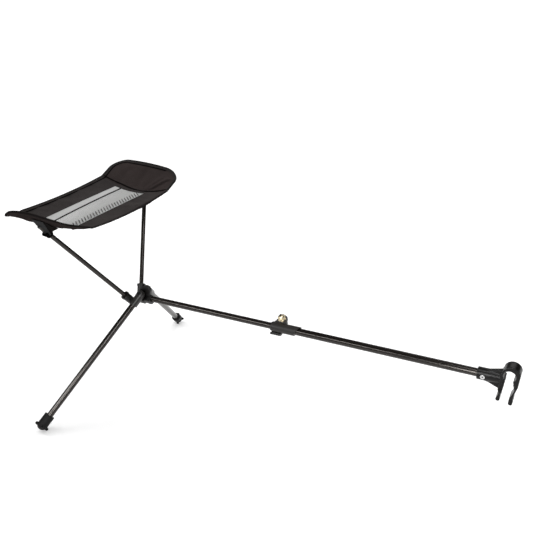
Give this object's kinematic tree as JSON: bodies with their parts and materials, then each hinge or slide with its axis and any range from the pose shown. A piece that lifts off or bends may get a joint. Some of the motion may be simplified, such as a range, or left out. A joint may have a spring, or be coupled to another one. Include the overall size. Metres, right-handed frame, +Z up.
{
  "type": "clip-on folding footrest",
  "caption": "Folding camp-chair footrest: fabric sling on poles, folding legs at a hub and a telescopic arm ending in a bar clip.",
  "frame": {"origin": "floor level under the middle of the part's length and width", "axes": "+X along the arm towards the chair clip, +Y across to the right leg, +Z up"},
  "size_m": [1.0375, 0.5619, 0.4916],
  "materials": {
    "hub_plastic": "satin black injection-moulded plastic",
    "knuckle_plastic": "glossy dark grey plastic",
    "black_tube": "gloss black anodised tube",
    "grey_plastic": "matt dark grey plastic",
    "foot_rubber": "matt black rubber",
    "steel": "plain zinc-plated steel",
    "bright_nut": "polished, warm nickel",
    "bright_rivet": "bright rivet head",
    "nylon": "natural nylon",
    "dark_cloth": "near-black woven cloth",
    "pale_mesh": "pale grey open mesh",
    "binding": "black woven edge tape"
  },
  "bodies": {
    "hub": {"hub_body": "hub_plastic", "left_pivot_screw": "steel", "right_pivot_screw": "steel", "left_pivot_washer": "nylon", "right_pivot_washer": "nylon", "left_pole": "black_tube", "right_pole": "black_tube", "left_pole_tip": "hub_plastic", "right_pole_tip": "hub_plastic", "inner_arm_tube": "black_tube", "arm_rivet": "steel", "inner_tube_plug": "nylon", "mesh_panel": "pale_mesh", "front_border": "dark_cloth", "rear_border": "dark_cloth", "left_band": "dark_cloth", "right_band": "dark_cloth", "left_flap": "dark_cloth", "right_flap": "dark_cloth", "left_pocket": "dark_cloth", "right_pocket": "dark_cloth", "edge_binding": "binding"},
    "left_leg": {"left_knuckle": "knuckle_plastic", "left_leg_tube": "black_tube", "left_leg_rivet": "steel", "left_foot": "foot_rubber"},
    "right_leg": {"right_knuckle": "knuckle_plastic", "right_leg_tube": "black_tube", "right_leg_rivet": "steel", "right_foot": "foot_rubber"},
    "outer_arm": {"outer_arm_tube": "black_tube", "lock_collar": "grey_plastic", "collar_rivet": "steel", "lock_bolt": "steel", "cam_washer": "steel", "chair_clip": "grey_plastic", "clip_rivet": "bright_rivet"},
    "lock_lever": {"lock_lever": "hub_plastic", "lever_pin": "steel"},
    "lock_nut": {"lock_nut": "bright_nut"}
  },
  "joints": [
    {"name": "arm_slide", "type": "slide", "parent": "hub", "child": "outer_arm", "axis": [1, 0, 0], "range_m": [-0.18, 0.02]},
    {"name": "left_leg_fold", "type": "hinge", "parent": "hub", "child": "left_leg", "pos_m": [-0.31875, -0.0134, 0.2406], "axis": [0, -0.6675, 0.7446], "range_deg": [0, 85]},
    {"name": "right_leg_fold", "type": "hinge", "parent": "hub", "child": "right_leg", "pos_m": [-0.31875, 0.0134, 0.2406], "axis": [0, -0.6675, -0.7446], "range_deg": [0, 85]},
    {"name": "lever_open", "type": "hinge", "parent": "outer_arm", "child": "lock_lever", "pos_m": [0.03475, 0.01998, 0.23734], "axis": [1, 0, 0], "range_deg": [0, 100]},
    {"name": "nut_turn", "type": "hinge", "parent": "outer_arm", "child": "lock_nut", "pos_m": [0.03475, 0.00949, 0.24615], "axis": [0, -0.766, 0.6428], "continuous": true}
  ]
}
